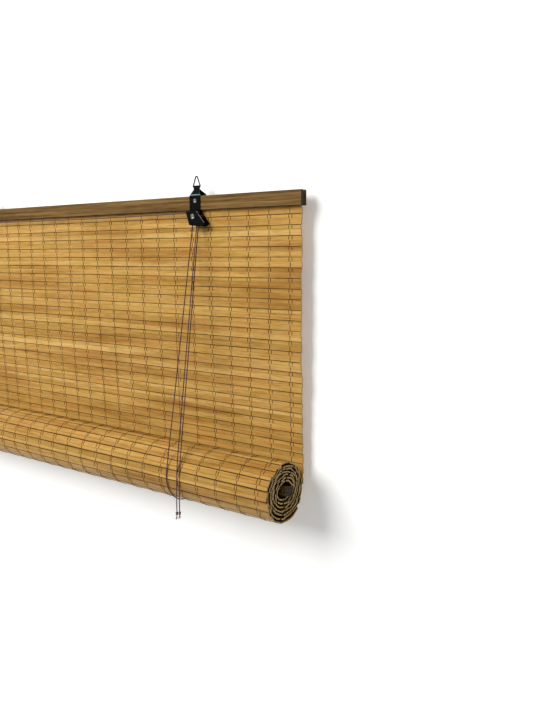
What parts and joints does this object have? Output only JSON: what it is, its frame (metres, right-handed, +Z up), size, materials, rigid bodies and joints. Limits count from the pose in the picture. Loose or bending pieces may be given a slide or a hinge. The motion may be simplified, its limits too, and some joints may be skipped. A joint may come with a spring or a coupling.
{
  "type": "bamboo roll-up blind",
  "caption": "Bamboo roll-up blind hung by wire rings, rolled most of the way up, with a woven strip mat, wooden head rail and a cord lock with pull cords at the right",
  "frame": {"origin": "inside of the apex of the right-hand hanging ring, where the hook sits", "axes": "X along the head rail to the right, +Y to the wall behind the blind, +Z up"},
  "size_m": [0.906, 0.099, 0.4938],
  "materials": {
    "stained_wood": "stained and lightly sanded wood",
    "bamboo": "split bamboo strips, satin outer skin",
    "thread": "dark brown cotton warp",
    "black_steel": "black painted folded steel sheet",
    "bright_steel": "plated steel",
    "pulley_plastic": "moulded black plastic",
    "cord": "twisted dark brown cord"
  },
  "bodies": {
    "blind": {"front_batten": "stained_wood", "rear_batten": "stained_wood", "rail_screws": "bright_steel", "strap_right": "black_steel", "strap_rivet_right": "bright_steel", "lock_housing": "black_steel", "lock_foot_rivets": "bright_steel", "lock_axle": "bright_steel", "strap_left": "black_steel", "strap_rivet_left": "bright_steel", "pulley_housing_left": "black_steel", "foot_rivets_left": "bright_steel", "axle_left": "bright_steel", "bottom_batten_front": "stained_wood", "bottom_batten_rear": "stained_wood", "bottom_rail_screws": "bright_steel", "rolled_mat": "bamboo", "warp_threads_front": "thread", "warp_threads_rear": "thread", "cord_right": "cord", "cord_left": "cord", "rear_knots": "cord", "pull_cord_knots": "cord", "weave_row_01": "bamboo", "weave_row_02": "bamboo", "weave_row_03": "bamboo", "weave_row_04": "bamboo", "weave_row_05": "bamboo", "weave_row_06": "bamboo", "weave_row_07": "bamboo", "weave_row_08": "bamboo", "weave_row_09": "bamboo", "weave_row_10": "bamboo", "weave_row_11": "bamboo", "weave_row_12": "bamboo", "weave_row_13": "bamboo", "weave_row_14": "bamboo", "weave_row_15": "bamboo", "weave_row_16": "bamboo", "weave_row_17": "bamboo", "weave_row_18": "bamboo", "weave_row_19": "bamboo", "weave_row_20": "bamboo", "weave_row_21": "bamboo", "weave_row_22": "bamboo", "weave_row_23": "bamboo", "weave_row_24": "bamboo", "weave_row_25": "bamboo", "weave_row_26": "bamboo", "weave_row_27": "bamboo", "weave_row_28": "bamboo"},
    "ring_right_body": {"ring_right": "bright_steel"},
    "ring_left_body": {"ring_left": "bright_steel"},
    "lock_pulley_body": {"lock_pulley": "pulley_plastic"},
    "pulley_left_body": {"pulley_left": "pulley_plastic"},
    "lock_roller_body": {"lock_roller": "bright_steel"}
  },
  "joints": [
    {"name": "ring_right_swing", "type": "hinge", "parent": "blind", "child": "ring_right_body", "pos_m": [0, 0, -0.0144], "axis": [1, 0, 0], "range_deg": [-60, 60]},
    {"name": "ring_left_swing", "type": "hinge", "parent": "blind", "child": "ring_left_body", "pos_m": [-0.528, 0, -0.0144], "axis": [1, 0, 0], "range_deg": [-60, 60]},
    {"name": "lock_pulley_spin", "type": "hinge", "parent": "blind", "child": "lock_pulley_body", "pos_m": [0, -0.005, -0.0575], "axis": [0, 1, 0], "continuous": true},
    {"name": "left_pulley_spin", "type": "hinge", "parent": "blind", "child": "pulley_left_body", "pos_m": [-0.528, -0.005, -0.0575], "axis": [0, 1, 0], "continuous": true},
    {"name": "lock_roller_slide", "type": "slide", "parent": "blind", "child": "lock_roller_body", "axis": [0.6516, 0, -0.7586], "range_m": [0, 0.006]}
  ]
}
